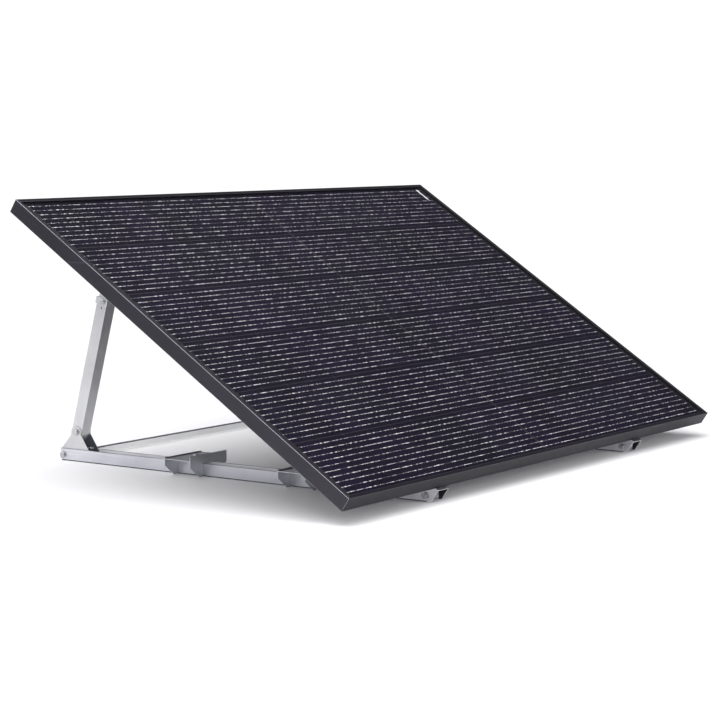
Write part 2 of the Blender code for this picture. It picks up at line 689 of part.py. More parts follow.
def make_stand(hand, side, tilt_pivot, finish):
    x = side * STAND_X
    make_top_rail(hand, side, tilt_pivot, finish)
    for end, inward in (("front", FIXING_IN), ("rear", MODULE_WIDTH - FIXING_IN)):
        make_module_bolt(end, inward, hand, side, tilt_pivot, finish)
    make_leg_top_bolt(hand, side, tilt_pivot, finish)
    make_base_rail(hand, side, finish)
    make_shoe(hand, side, finish)
    for row, station in zip(("front", "rear"), BRACKET_STATIONS):
        make_ballast_bracket(row, station, hand, side, finish)
    half_top, half_base, half_shoe = TOP_WIDTH / 2, BASE_WIDTH / 2, SHOE_WIDTH / 2
    make_cross_bolt(f"hinge_bolt_{hand}", x, side, half_top, half_top, (HINGE_Y, HINGE_HEIGHT), finish)
    make_cross_bolt(f"foot_bolt_{hand}", x, side, half_shoe, half_shoe, (FOOT_Y, FOOT_HEIGHT), finish)
    above_shoe = 2 * (SHEET + GAP)
    spacer_top = SHOE_BOLT_HEAD - 0.003
    make_upright_bolt(f"shoe_bolt_{hand}", (x, SHOE_BOLT_Y), SHOE_BOLT_HEAD, spacer_top, above_shoe, finish)
    past_tab = half_base + GAP + PLATE
    make_cross_bolt(f"rail_end_bolt_{hand}", x, side, half_base, past_tab, end_bolt_place(), finish)
    make_leg(hand, side, finish)


clear_scene()
finishes = {
    "frame": make_material("black_frame", (0.035, 0.035, 0.038), 0.42, 0.6),
    "front_glass": make_material("front_glass", (0.02, 0.02, 0.03), 0.12, 0.0),
    "cell_layer": make_material("cells", (0.01, 0.01, 0.02), 0.35, 0.0),
    "backsheet": make_material("backsheet", (0.02, 0.02, 0.02), 0.6, 0.0),
    "plastic": make_material("black_plastic", (0.02, 0.02, 0.02), 0.5, 0.0),
    "chip": make_material("diode", (0.03, 0.03, 0.03), 0.4, 0.0),
    "alloy": make_material("mill_alloy", (0.72, 0.72, 0.75), 0.35, 1.0),
    "steel": make_material("galvanised_steel", (0.6, 0.61, 0.63), 0.4, 1.0),
    "bolt": make_material("bolt_steel", (0.62, 0.62, 0.63), 0.3, 1.0),
}
tilt = make_pivot("tilt_pivot", (0, HINGE_Y, HINGE_HEIGHT), TILT)
make_module(tilt, finishes)
for box_number in (1, 2, 3):
    make_junction_box(box_number, tilt, finishes)
make_gland("cable_gland_left", -1, 1, tilt, finishes)
make_gland("cable_gland_right", 1, 3, tilt, finishes)
for stand, direction in (("left", -1), ("right", 1)):
    make_stand(stand, direction, tilt, finishes)
make_cross_bar(finishes)
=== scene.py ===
import json
import math

import bmesh
import bpy
from mathutils import Matrix, Vector


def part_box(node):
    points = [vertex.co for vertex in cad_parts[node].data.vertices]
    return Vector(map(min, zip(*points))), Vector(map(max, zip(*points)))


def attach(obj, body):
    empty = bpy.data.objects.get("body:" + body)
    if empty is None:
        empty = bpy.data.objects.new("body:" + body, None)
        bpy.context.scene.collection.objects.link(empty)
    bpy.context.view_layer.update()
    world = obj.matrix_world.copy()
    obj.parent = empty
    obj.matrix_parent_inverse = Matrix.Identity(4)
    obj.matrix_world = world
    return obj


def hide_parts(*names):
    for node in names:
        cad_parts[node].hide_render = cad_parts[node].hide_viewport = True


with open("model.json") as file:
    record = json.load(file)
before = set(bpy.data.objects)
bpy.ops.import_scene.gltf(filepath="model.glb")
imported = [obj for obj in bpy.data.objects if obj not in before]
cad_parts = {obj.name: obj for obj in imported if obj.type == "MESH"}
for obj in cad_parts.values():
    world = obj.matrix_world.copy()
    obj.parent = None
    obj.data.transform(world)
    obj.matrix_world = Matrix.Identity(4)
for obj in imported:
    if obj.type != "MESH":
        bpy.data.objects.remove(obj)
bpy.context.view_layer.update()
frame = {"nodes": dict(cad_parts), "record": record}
bodyOfNode = {}
for bodyName, members in frame["record"]["behaviour"]["bodies"].items():
    for member in members:
        bodyOfNode[member] = bodyName

# The module's own axes: x along the front edge, y up the slope, z out of the glass
module = {"tilt": 32.9, "length": 1.722, "width": 1.134, "frameHeight": 0.035}
tilt = math.radians(module["tilt"])
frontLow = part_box("frame_front")[0]
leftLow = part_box("frame_left")[0]
slopeCorner = Vector((leftLow.x, frontLow.y, frontLow.z + module["frameHeight"] * math.cos(tilt)))
slope = Matrix.Translation(slopeCorner) @ Matrix.Rotation(tilt, 4, "X")


# Materials: an input of a node takes a value or another node's output
def setInputs(tree, node, inputs):
    for name, value in inputs.items():
        if isinstance(value, bpy.types.NodeSocket):
            tree.links.new(value, node.inputs[name])
        else:
            node.inputs[name].default_value = value


def addNode(tree, kind, inputs=None, **settings):
    made = tree.nodes.new(kind)
    for name, value in settings.items():
        setattr(made, name, value)
    setInputs(tree, made, inputs or {})
    return made


def mixColours(tree, factor, first, second):
    mixed = addNode(tree, "ShaderNodeMix", {"Factor": factor, "A": first, "B": second}, data_type="RGBA")
    return mixed.outputs["Result"]


def mapValue(tree, value, low, high, toLow, toHigh):
    mapped = addNode(tree, "ShaderNodeMapRange", {
        "Value": value, "From Min": low, "From Max": high, "To Min": toLow, "To Max": toHigh})
    return mapped.outputs["Result"]


def bumpNormal(tree, height, strength, distance):
    bump = addNode(tree, "ShaderNodeBump", {"Height": height, "Strength": strength, "Distance": distance})
    return bump.outputs["Normal"]


def startGroup(name, inputs, outputs):
    group = bpy.data.node_groups.new(name, "ShaderNodeTree")
    for label, kind, value in inputs:
        socket = group.interface.new_socket(label, in_out="INPUT", socket_type=kind)
        if value is not None:
            socket.default_value = value
    for label, kind in outputs:
        group.interface.new_socket(label, in_out="OUTPUT", socket_type=kind)
    return group, addNode(group, "NodeGroupInput"), addNode(group, "NodeGroupOutput")


def makeBrushedGrain():
    # Fine lines along one direction, with sparse scratches and slow cloudy patches
    grain = {"scratchScale": 160.0, "scratchFrom": 0.66, "scratchTo": 0.74}
    group, given, result = startGroup(
        "brushedGrain",
        [("Vector", "NodeSocketVector", None), ("Fineness", "NodeSocketFloat", 900.0),
         ("Stretch", "NodeSocketFloat", 0.02), ("Cloud Scale", "NodeSocketFloat", 7.0)],
        [("Lines", "NodeSocketFloat"), ("Scratches", "NodeSocketFloat"), ("Clouds", "NodeSocketFloat")],
    )
    parts = addNode(group, "ShaderNodeSeparateXYZ", {"Vector": given.outputs["Vector"]})
    squeezed = addNode(group, "ShaderNodeMath", {
        0: parts.outputs["X"], 1: given.outputs["Stretch"]}, operation="MULTIPLY")
    lengthways = addNode(group, "ShaderNodeCombineXYZ", {
        "X": squeezed.outputs[0], "Y": parts.outputs["Y"], "Z": parts.outputs["Z"]})
    lines = addNode(group, "ShaderNodeTexNoise", {
        "Vector": lengthways.outputs[0], "Scale": given.outputs["Fineness"],
        "Detail": 3.0, "Roughness": 0.65})
    scratchNoise = addNode(group, "ShaderNodeTexNoise", {
        "Vector": lengthways.outputs[0], "Scale": grain["scratchScale"], "Detail": 2.0, "Distortion": 0.6})
    scratches = mapValue(
        group, scratchNoise.outputs["Fac"], grain["scratchFrom"], grain["scratchTo"], 0.0, 1.0
    )
    clouds = addNode(group, "ShaderNodeTexNoise", {
        "Vector": given.outputs["Vector"], "Scale": given.outputs["Cloud Scale"],
        "Detail": 4.0, "Roughness": 0.55})
    setInputs(group, result, {
        "Lines": lines.outputs["Fac"], "Scratches": scratches, "Clouds": clouds.outputs["Fac"]})
    return group


def makeFineTexture():
    # The pebbled face of a moulded skin, with dust in slow patches
    skin = {"dustScale": 22.0, "dustFrom": 0.5, "dustTo": 0.8}
    group, given, result = startGroup(
        "fineTexture",
        [("Vector", "NodeSocketVector", None), ("Scale", "NodeSocketFloat", 1400.0)],
        [("Height", "NodeSocketFloat"), ("Dust", "NodeSocketFloat")],
    )
    pebbles = addNode(group, "ShaderNodeTexVoronoi", {
        "Vector": given.outputs["Vector"], "Scale": given.outputs["Scale"]}, feature="SMOOTH_F1")
    slow = addNode(group, "ShaderNodeTexNoise", {
        "Vector": given.outputs["Vector"], "Scale": skin["dustScale"], "Detail": 5.0})
    dust = mapValue(group, slow.outputs["Fac"], skin["dustFrom"], skin["dustTo"], 0.0, 1.0)
    setInputs(group, result, {"Height": pebbles.outputs["Distance"], "Dust": dust})
    return group


brushedGrain = makeBrushedGrain()
fineTexture = makeFineTexture()


def startMaterial(name, place=(0, 0, 0), turn=(0, 0, 0)):
    # Object coordinates, moved and turned so that x runs along the piece
    material = bpy.data.materials.new(name)
    material.use_nodes = True
    tree = material.node_tree
    shader = tree.nodes["Principled BSDF"]
    coords = addNode(tree, "ShaderNodeTexCoord")
    mapped = addNode(tree, "ShaderNodeMapping", {
        "Vector": coords.outputs["Object"], "Location": place, "Rotation": turn}, vector_type="TEXTURE")
    return material, tree, shader, mapped.outputs["Vector"]


bumpDepth = 0.0002


def makeMetal(name, look, turn=(0, 0, 0)):
    material, tree, shader, coords = startMaterial(name, turn=turn)
    grain = addNode(tree, "ShaderNodeGroup", {
        "Vector": coords, "Fineness": look["fineness"], "Stretch": look["stretch"]}, node_tree=brushedGrain)
    cloudy = mapValue(tree, grain.outputs["Clouds"], 0.3, 0.7, 0.0, 1.0)
    colour = mixColours(tree, cloudy, look["dark"], look["light"])
    setInputs(tree, shader, {
        "Base Color": mixColours(tree, grain.outputs["Scratches"], colour, look["scratch"]),
        "Roughness": mapValue(tree, grain.outputs["Lines"], 0.25, 0.75, look["smoothest"], look["roughest"]),
        "Metallic": look["metallic"], "IOR": look.get("ior", 1.5),
        "Normal": bumpNormal(tree, grain.outputs["Lines"], look["bump"], bumpDepth),
    })
    return material


def makeMoulded(name, look):
    material, tree, shader, coords = startMaterial(name)
    skin = addNode(tree, "ShaderNodeGroup", {"Vector": coords, "Scale": look["scale"]}, node_tree=fineTexture)
    setInputs(tree, shader, {
        "Base Color": mixColours(tree, skin.outputs["Dust"], look["colour"], look["dust"]),
        "Roughness": mapValue(tree, skin.outputs["Height"], 0.0, 0.6, look["smoothest"], look["roughest"]),
        "Normal": bumpNormal(tree, skin.outputs["Height"], look["bump"], bumpDepth),
    })
    return material


alloyLook = {
    "dark": (0.59, 0.59, 0.64, 1), "light": (0.71, 0.71, 0.76, 1), "scratch": (0.80, 0.80, 0.83, 1),
    "metallic": 1.0, "smoothest": 0.30, "roughest": 0.46, "fineness": 1500.0, "stretch": 0.012, "bump": 0.25,
}
legLook = {
    "dark": (0.55, 0.55, 0.56, 1), "light": (0.66, 0.66, 0.67, 1), "scratch": (0.74, 0.74, 0.75, 1),
    "metallic": 1.0, "smoothest": 0.30, "roughest": 0.46, "fineness": 1500.0, "stretch": 0.012, "bump": 0.25,
}
# Painted shade for the inside of the foot shoes
shadedLook = {
    "dark": (0.060, 0.066, 0.085, 1), "light": (0.100, 0.108, 0.135, 1), "scratch": (0.16, 0.17, 0.20, 1),
    "metallic": 0.4, "smoothest": 0.35, "roughest": 0.55, "fineness": 1500.0, "stretch": 0.012, "bump": 0.25,
}
# Painted shade for the inside of the top rails
hollowPaintedShadeLook = {
    "dark": (0.012, 0.012, 0.014, 1), "light": (0.022, 0.022, 0.026, 1), "scratch": (0.06, 0.06, 0.07, 1),
    "metallic": 0.4, "smoothest": 0.35, "roughest": 0.55, "fineness": 1500.0, "stretch": 0.012, "bump": 0.25,
}
steelLook = {
    "dark": (0.50, 0.51, 0.53, 1), "light": (0.66, 0.67, 0.69, 1), "scratch": (0.74, 0.74, 0.76, 1),
    "metallic": 1.0, "smoothest": 0.28, "roughest": 0.42, "fineness": 1100.0, "stretch": 0.03, "bump": 0.2,
}
boltLook = {
    "dark": (0.42, 0.42, 0.43, 1), "light": (0.58, 0.58, 0.59, 1), "scratch": (0.72, 0.72, 0.73, 1),
    "metallic": 1.0, "smoothest": 0.20, "roughest": 0.38, "fineness": 2500.0, "stretch": 0.2, "bump": 0.15,
}
# The long and short frame bars are one black anodised finish, tuned apart in tint and gloss to the light on
# their faces: painted light and shade
longBarLook = {
    "dark": (0.008, 0.007, 0.010, 1), "light": (0.012, 0.011, 0.015, 1), "scratch": (0.020, 0.019, 0.024, 1),
    "metallic": 0.0, "smoothest": 0.34, "roughest": 0.48, "fineness": 1600.0, "stretch": 0.01, "bump": 0.12,
    "ior": 1.20,
}
shortBarLook = {
    "dark": (0.0085, 0.0072, 0.0120, 1), "light": (0.0125, 0.0108, 0.0170, 1),
    "scratch": (0.022, 0.020, 0.027, 1),
    "metallic": 0.0, "smoothest": 0.34, "roughest": 0.48, "fineness": 1600.0, "stretch": 0.01, "bump": 0.12,
    "ior": 1.40,
}
plasticLook = {
    "colour": (0.018, 0.018, 0.019, 1), "dust": (0.035, 0.035, 0.036, 1),
    "scale": 1500.0, "smoothest": 0.42, "roughest": 0.62, "bump": 0.4,
}
# Painted highlights for the frame's rounded arrises: a lighter colour on the edge faces, brighter on the
# short side bars than on the long bars
arrisPaintedHighlightLook = {
    "dark": (0.22, 0.21, 0.26, 1), "light": (0.34, 0.33, 0.39, 1), "scratch": (0.50, 0.49, 0.55, 1),
    "metallic": 0.3, "smoothest": 0.28, "roughest": 0.42, "fineness": 1600.0, "stretch": 0.05, "bump": 0.1,
}
arrisFaintPaintedHighlightLook = {
    "dark": (0.035, 0.034, 0.040, 1), "light": (0.060, 0.058, 0.066, 1), "scratch": (0.12, 0.12, 0.13, 1),
    "metallic": 0.3, "smoothest": 0.30, "roughest": 0.45, "fineness": 1600.0, "stretch": 0.05, "bump": 0.1,
}
# Pale zinc, made near white and non-metal: partly the bar's own colour and partly a painted reflection on the
# cross bar's front face. The top rails' rounded edges use it as painted highlights
paleZincSheenLook = {
    "dark": (0.86, 0.86, 0.86, 1), "light": (0.93, 0.93, 0.93, 1), "scratch": (0.96, 0.96, 0.96, 1),
    "metallic": 0.0, "smoothest": 0.45, "roughest": 0.60, "fineness": 1100.0, "stretch": 0.03, "bump": 0.2,
}
# Painted light: a paler, less metallic copy of the rail alloy, so that the base rails' inner faces read as
# lit
innerSheetPaintedLightLook = {
    "dark": (0.62, 0.62, 0.65, 1), "light": (0.74, 0.74, 0.77, 1), "scratch": (0.82, 0.82, 0.84, 1),
    "metallic": 0.25, "smoothest": 0.45, "roughest": 0.60, "fineness": 1500.0, "stretch": 0.012, "bump": 0.25,
}
# Painted shade: the dark lines along the cross bar's top and along the base rails' bottoms and rims
shadeLineLook = {
    "dark": (0.035, 0.035, 0.045, 1), "light": (0.060, 0.060, 0.075, 1), "scratch": (0.20, 0.20, 0.22, 1),
    "metallic": 0.4, "smoothest": 0.35, "roughest": 0.50, "fineness": 1500.0, "stretch": 0.012, "bump": 0.2,
}
sealLook = {
    "colour": (0.010, 0.010, 0.011, 1), "dust": (0.020, 0.020, 0.021, 1),
    "scale": 900.0, "smoothest": 0.30, "roughest": 0.45, "bump": 0.2,
}
backLook = {
    "colour": (0.020, 0.020, 0.022, 1), "dust": (0.028, 0.028, 0.030, 1),
    "scale": 2600.0, "smoothest": 0.40, "roughest": 0.55, "bump": 0.2,
}
alongY = (0, 0, math.pi / 2)
legLean = 15.2167
finishes = {
    "railAlloy": makeMetal("millAlloyAlongRail", alloyLook, alongY),
    "slopeAlloy": makeMetal("millAlloyAlongSlope", alloyLook, (tilt, 0, math.pi / 2)),
    "legAlloy": makeMetal("millAlloyAlongLeg", legLook, (math.radians(legLean), -math.pi / 2, 0)),
    "sheetSteel": makeMetal("galvanisedSheet", steelLook),
    "paleZincAndPaintedHighlight": makeMetal("paleZincWithPaintedSheen", paleZincSheenLook),
    "crossTopPaintedShade": makeMetal("paintedShadeZincTop", shadeLineLook),
    "shoeAlloy": makeMetal("millAlloyShoe", legLook, alongY),
    "shoeInnerPaintedShade": makeMetal("paintedShadeInnerShoe", shadedLook, alongY),
    "slopeInnerPaintedShade": makeMetal("paintedShadeInnerRail", hollowPaintedShadeLook, (tilt, 0, math.pi / 2)),
    "railInnerPaintedLight": makeMetal("paintedLightInnerFace", innerSheetPaintedLightLook, alongY),
    "railPaintedShadeLine": makeMetal("paintedShadeRailLine", shadeLineLook, alongY),
    "arrisPaintedHighlight": makeMetal("arrisHighlightPaint", arrisPaintedHighlightLook),
    "arrisFaintPaintedHighlight": makeMetal("arrisFaintHighlightPaint", arrisFaintPaintedHighlightLook),
    "boltSteel": makeMetal("stainlessBolt", boltLook),
    "frameLong": makeMetal("blackAnodisedLong", longBarLook, (tilt, 0, 0)),
    "frameShort": makeMetal("blackAnodisedShort", shortBarLook, (tilt, 0, math.pi / 2)),
    "plastic": makeMoulded("mouldedBlackPlastic", plasticLook),
    "back": makeMoulded("blackBacksheet", backLook),
    "seal": makeMoulded("blackSealant", sealLook),
}


def makeCellFinish():
    look = {
        "navy": (0.0068, 0.0044, 0.0140, 1), "teal": (0.0066, 0.0062, 0.0118, 1),
        "finger": (0.042, 0.038, 0.055, 1), "fingerPitch": 0.0014, "fingerEdges": (0.06, 0.03),
        "darkest": 0.75, "lightest": 1.35, "smoothest": 0.30, "roughest": 0.42, "gloss": 0.08,
    }
    material, tree, shader, coords = startMaterial("blackMonoCell", place=slopeCorner, turn=(tilt, 0, 0))
    tone = addNode(tree, "ShaderNodeAttribute", attribute_name="cellTone")
    wide = addNode(tree, "ShaderNodeTexNoise", {"Vector": coords, "Scale": 2.6, "Detail": 2.0})
    drift = mapValue(tree, wide.outputs["Fac"], 0.42, 0.62, 0.0, 1.0)
    colour = mixColours(tree, drift, look["navy"], look["teal"])
    darker = addNode(tree, "ShaderNodeHueSaturation", {
        "Color": colour,
        "Value": mapValue(tree, tone.outputs["Fac"], 0.0, 1.0, look["darkest"], look["lightest"])})
    parts = addNode(tree, "ShaderNodeSeparateXYZ", {"Vector": coords})
    phase = addNode(tree, "ShaderNodeMath", {
        0: parts.outputs["X"], 1: look["fingerPitch"]}, operation="DIVIDE")
    step = addNode(tree, "ShaderNodeMath", {0: phase.outputs[0]}, operation="FRACT")
    line = mapValue(tree, step.outputs[0], *look["fingerEdges"], 0.0, 1.0)
    speck = addNode(tree, "ShaderNodeTexNoise", {"Vector": coords, "Scale": 600.0, "Detail": 3.0})
    setInputs(tree, shader, {
        "Base Color": mixColours(tree, line, darker.outputs["Color"], look["finger"]),
        "Roughness": mapValue(tree, speck.outputs["Fac"], 0.3, 0.7, look["smoothest"], look["roughest"]),
        "Specular IOR Level": look["gloss"],
        "Normal": bumpNormal(tree, line, 0.15, bumpDepth / 2),
    })
    return material


def makeRibbonFinish():
    # Tinned wire, bright where the solder stands proud and dull between
    look = {
        "dull": (0.10, 0.095, 0.12, 1), "bright": (1.0, 0.99, 1.0, 1), "metallic": 0.1,
        "beadsPerMetre": (125.0, 57.0, 57.0), "dullBelow": 0.45, "brightAbove": 0.57,
        "smoothest": 0.28, "roughest": 0.5,
    }
    material, tree, shader, coords = startMaterial("tinnedRibbon", place=slopeCorner, turn=(tilt, 0, 0))
    scaled = addNode(tree, "ShaderNodeVectorMath", {
        0: coords, 1: look["beadsPerMetre"]}, operation="MULTIPLY")
    beads = addNode(tree, "ShaderNodeTexNoise", {
        "Vector": scaled.outputs["Vector"], "Scale": 1.0, "Detail": 1.0})
    blend = mapValue(tree, beads.outputs["Fac"], look["dullBelow"], look["brightAbove"], 0.0, 1.0)
    wet = addNode(tree, "ShaderNodeTexNoise", {"Vector": coords, "Scale": 700.0, "Detail": 3.0})
    setInputs(tree, shader, {
        "Base Color": mixColours(tree, blend, look["dull"], look["bright"]),
        "Roughness": mapValue(tree, wet.outputs["Fac"], 0.3, 0.7, look["smoothest"], look["roughest"]),
        "Metallic": look["metallic"],
        "Normal": bumpNormal(tree, wet.outputs["Fac"], 0.2, bumpDepth),
    })
    return material


def makeGlassFinish():
    # A thin dark-bodied sheet: mostly clear, with the low gloss of an etched and coated face
    look = {
        "tint": (0.004, 0.004, 0.006, 1), "coating": (0.84, 0.76, 1.0, 1), "alpha": 0.12, "ior": 1.62,
        "smoothest": 0.10, "roughest": 0.20,
    }
    material, tree, shader, coords = startMaterial("solarGlass", place=slopeCorner, turn=(tilt, 0, 0))
    film = addNode(tree, "ShaderNodeTexNoise", {"Vector": coords, "Scale": 6.0, "Detail": 4.0})
    setInputs(tree, shader, {
        "Base Color": look["tint"], "Alpha": look["alpha"], "IOR": look["ior"],
        "Specular Tint": look["coating"],
        "Roughness": mapValue(tree, film.outputs["Fac"], 0.3, 0.7, look["smoothest"], look["roughest"]),
    })
    return material


def makeLabelFinish():
    look = {
        "dark": (0.86, 0.86, 0.85, 1), "light": (0.93, 0.93, 0.93, 1), "smoothest": 0.5, "roughest": 0.65,
    }
    material, tree, shader, coords = startMaterial("blankLabel", place=slopeCorner, turn=(tilt, 0, 0))
    paper = addNode(tree, "ShaderNodeTexNoise", {"Vector": coords, "Scale": 400.0, "Detail": 4.0})
    setInputs(tree, shader, {
        "Base Color": mixColours(tree, paper.outputs["Fac"], look["dark"], look["light"]),
        "Roughness": mapValue(tree, paper.outputs["Fac"], 0.3, 0.7, look["smoothest"], look["roughest"]),
    })
    return material


finishes["cell"] = makeCellFinish()
finishes["ribbon"] = makeRibbonFinish()
finishes["glass"] = makeGlassFinish()
finishes["label"] = makeLabelFinish()
print("materials made:", len(finishes))


def makePiece(name, shape, finish, body, standsFor=()):
    mesh = bpy.data.meshes.new(name)
    shape.to_mesh(mesh)
    shape.free()
    mesh.materials.append(finish)
    piece = bpy.data.objects.new(name, mesh)
    bpy.context.scene.collection.objects.link(piece)
    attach(piece, body)
    if standsFor:
        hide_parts(*standsFor)
    return piece


# Metal and moulded pieces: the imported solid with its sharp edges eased
def openSolid(nodeName):
    shape = bmesh.new()
    shape.from_mesh(frame["nodes"][nodeName].data)
    bmesh.ops.remove_doubles(shape, verts=shape.verts, dist=0.00002)
    bmesh.ops.dissolve_limit(
        shape, angle_limit=math.radians(1), use_dissolve_boundaries=False,
        verts=shape.verts, edges=shape.edges,
    )
    return shape


def vertsIn(parts):
    return [part for part in parts if isinstance(part, bmesh.types.BMVert)]


def thicken(shape, height):
    # Raises a flat shape into a closed one
    raised = bmesh.ops.extrude_face_region(shape, geom=list(shape.faces), use_keep_orig=True)["geom"]
    bmesh.ops.translate(shape, vec=(0, 0, height), verts=vertsIn(raised))
    bmesh.ops.recalc_face_normals(shape, faces=shape.faces)


def roundEdges(shape, chosen, radius, segments):
    return bmesh.ops.bevel(
        shape, geom=chosen, offset=radius, offset_type="OFFSET", affect="EDGES",
        segments=segments, profile=0.5, material=-1, clamp_overlap=True,
    )["faces"]


def sharpEdges(shape):
    return [edge for edge in shape.edges if edge.is_manifold and edge.calc_face_angle(0) > math.radians(35)]


def cutLevel(shape, height):
    bmesh.ops.bisect_plane(
        shape, geom=list(shape.verts) + list(shape.edges) + list(shape.faces), dist=0.000001,
        plane_co=(0, 0, height), plane_no=(0, 0, 1),
    )


def finishSolid(nodeName, shape, finish, others=()):
    shape.normal_update()
    piece = makePiece(
        nodeName + "_eased", shape, finish, bodyOfNode[nodeName], (nodeName,)
    )
    for other in others:
        piece.data.materials.append(other)
    return piece


def easeEdges(nodeName, radius, finish, segments=2, edgeFinish=None):
    shape = openSolid(nodeName)
    eased = roundEdges(shape, sharpEdges(shape), radius, segments)
    if edgeFinish:
        for face in eased:
            face.material_index = 1
    return finishSolid(nodeName, shape, finish, [edgeFinish] if edgeFinish else [])


easedPieces = {"frameRadius": 0.0007, "sheetRadius": 0.0004, "plasticRadius": 0.0006}
# The frame's rounded arrises take the arris finishes: painted highlights
for nodeName in ("frame_front", "frame_rear"):
    easeEdges(nodeName, easedPieces["frameRadius"], finishes["frameLong"], 2, finishes["arrisFaintPaintedHighlight"])
for nodeName in ("frame_left", "frame_right"):
    easeEdges(nodeName, easedPieces["frameRadius"], finishes["frameShort"], 2, finishes["arrisPaintedHighlight"])
for hand in ("left", "right"):
    for nodeName, finish in (
        ("lower_leg", "legAlloy"), ("upper_leg", "legAlloy"),
        ("leg_collar", "sheetSteel"), ("ballast_bracket_front", "sheetSteel"),
        ("ballast_bracket_rear", "sheetSteel"),
    ):
        easeEdges(nodeName + "_" + hand, easedPieces["sheetRadius"], finishes[finish])

# Base rails and shoes: folded sheet, bent to a radius along the bottom. On the base rails the inner faces are
# painted light, a paler copy of the alloy, and the bends, rims and a low band along the bottom are painted
# shade; on the shoes the inner faces are painted shade
foldedSheet = {
    "bend": 0.0016, "rim": 0.0007, "lowLine": 0.0024, "insideDepth": 0.0008, "floorMargin": 0.001,
    "closeTo": 0.0002, "innerSlot": 1, "edgeSlot": 2,
}


def makeFoldedChannel(nodeName, outer, inner, rimAndShadeFinish):
    low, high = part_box(nodeName)
    middle = (low.x + high.x) / 2
    shape = openSolid(nodeName)

    def runsAlong(edge):
        return abs((edge.verts[0].co - edge.verts[1].co).normalized().y) > 0.99

    def isBottomCorner(vert):
        fromSide = abs(abs(vert.co.x - middle) - (high.x - low.x) / 2)
        return vert.co.z < low.z + foldedSheet["closeTo"] and fromSide < foldedSheet["closeTo"]

    bends = [edge for edge in sharpEdges(shape) if runsAlong(edge) and all(map(isBottomCorner, edge.verts))]
    # The bends, the rims and a low band along the bottom take the third finish: painted shade on the base
    # rails, plain alloy on the shoes
    for face in roundEdges(shape, bends, foldedSheet["bend"], 4):
        face.material_index = foldedSheet["edgeSlot"]
    rims = [edge for edge in sharpEdges(shape) if runsAlong(edge)]
    for face in roundEdges(shape, rims, foldedSheet["rim"], 2):
        face.material_index = foldedSheet["edgeSlot"]
    lowLine = low.z + foldedSheet["lowLine"]
    cutLevel(shape, lowLine)
    shape.normal_update()
    # Inner faces take the second finish: painted light on the base rails, painted shade on the shoes
    insideReach = (high.x - low.x) / 2 - foldedSheet["insideDepth"]
    for face in shape.faces:
        offset = face.calc_center_median().x - middle
        facesInward = face.normal.x * offset < 0 and abs(face.normal.x) > 0.9
        upFloor = face.normal.z > 0.9 and abs(offset) < insideReach - foldedSheet["floorMargin"]
        if abs(offset) < insideReach and (facesInward or upFloor) and face.material_index == 0:
            face.material_index = foldedSheet["innerSlot"]
        elif face.calc_center_median().z < lowLine and face.normal.z > -0.5 and not upFloor:
            face.material_index = foldedSheet["edgeSlot"]
    return finishSolid(nodeName, shape, outer, [inner, rimAndShadeFinish])


for hand in ("left", "right"):
    for nodeName, names in (
        ("base_rail", ("railAlloy", "railInnerPaintedLight", "railPaintedShadeLine")),
        ("foot_shoe", ("shoeAlloy", "shoeInnerPaintedShade", "shoeAlloy")),
    ):
        makeFoldedChannel(nodeName + "_" + hand, *(finishes[name] for name in names))

# Top rails: painted shade on the inner faces, and painted highlights on the rounded edges, which take the
# pale zinc finish
for hand in ("left", "right"):
    nodeName = "top_rail_" + hand
    low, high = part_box(nodeName)
    middle, reach = (low.x + high.x) / 2, (high.x - low.x) / 2 - foldedSheet["insideDepth"]
    shape = openSolid(nodeName)
    for face in roundEdges(shape, sharpEdges(shape), easedPieces["sheetRadius"], 2):
        face.material_index = foldedSheet["edgeSlot"]
    shape.normal_update()
    for face in shape.faces:
        offset = face.calc_center_median().x - middle
        across = face.normal.x * offset < 0 and abs(face.normal.x) > 0.9
        facesDown = (slope.to_3x3().inverted() @ face.normal).z < -0.9
        webBelow = facesDown and abs(offset) < reach - foldedSheet["floorMargin"]
        if face.material_index == 0 and abs(offset) < reach and (across or webBelow):
            face.material_index = foldedSheet["innerSlot"]
    finishSolid(nodeName, shape, finishes["slopeAlloy"], [finishes["slopeInnerPaintedShade"], finishes["paleZincAndPaintedHighlight"]])

# Cross bar: painted shade as a dark band along its top
crossBar = {"shadeDepth": 0.0014}
crossShape = openSolid("cross_bar")
roundEdges(crossShape, sharpEdges(crossShape), easedPieces["sheetRadius"], 2)
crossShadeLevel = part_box("cross_bar")[1].z - crossBar["shadeDepth"]
cutLevel(crossShape, crossShadeLevel)
crossShape.normal_update()
for face in crossShape.faces:
    if face.calc_center_median().z > crossShadeLevel:
        face.material_index = 1
finishSolid("cross_bar", crossShape, finishes["paleZincAndPaintedHighlight"], [finishes["crossTopPaintedShade"]])
for number in (1, 2, 3):
    easeEdges(f"junction_box_{number}", easedPieces["plasticRadius"], finishes["plastic"])
print("eased pieces made")

# Junction box lids: a sunk panel with ribs, and a raised screw head at each corner
lid = {
    "border": 0.0055, "sunk": 0.0009, "ribs": 5, "ribWidth": 0.0022, "ribLength": 0.036, "ribPitch": 0.0072,
    "ribRoot": 0.0001, "edge": 0.0005, "screwRadius": 0.0021, "screwInset": 0.0030, "screwHeight": 0.0004,
    "screwRoot": 0.0002, "screwEdge": 0.0002, "screwAround": 24,
}


def boxShape(low, high):
    made = bmesh.new()
    bmesh.ops.create_cube(made, size=1)
    bmesh.ops.scale(made, vec=high - low, verts=made.verts)
    bmesh.ops.translate(made, vec=(low + high) / 2, verts=made.verts)
    return made


def joinShape(target, other):
    moved = bpy.data.meshes.new("joined")
    other.to_mesh(moved)
    other.free()
    target.from_mesh(moved)
    bpy.data.meshes.remove(moved)


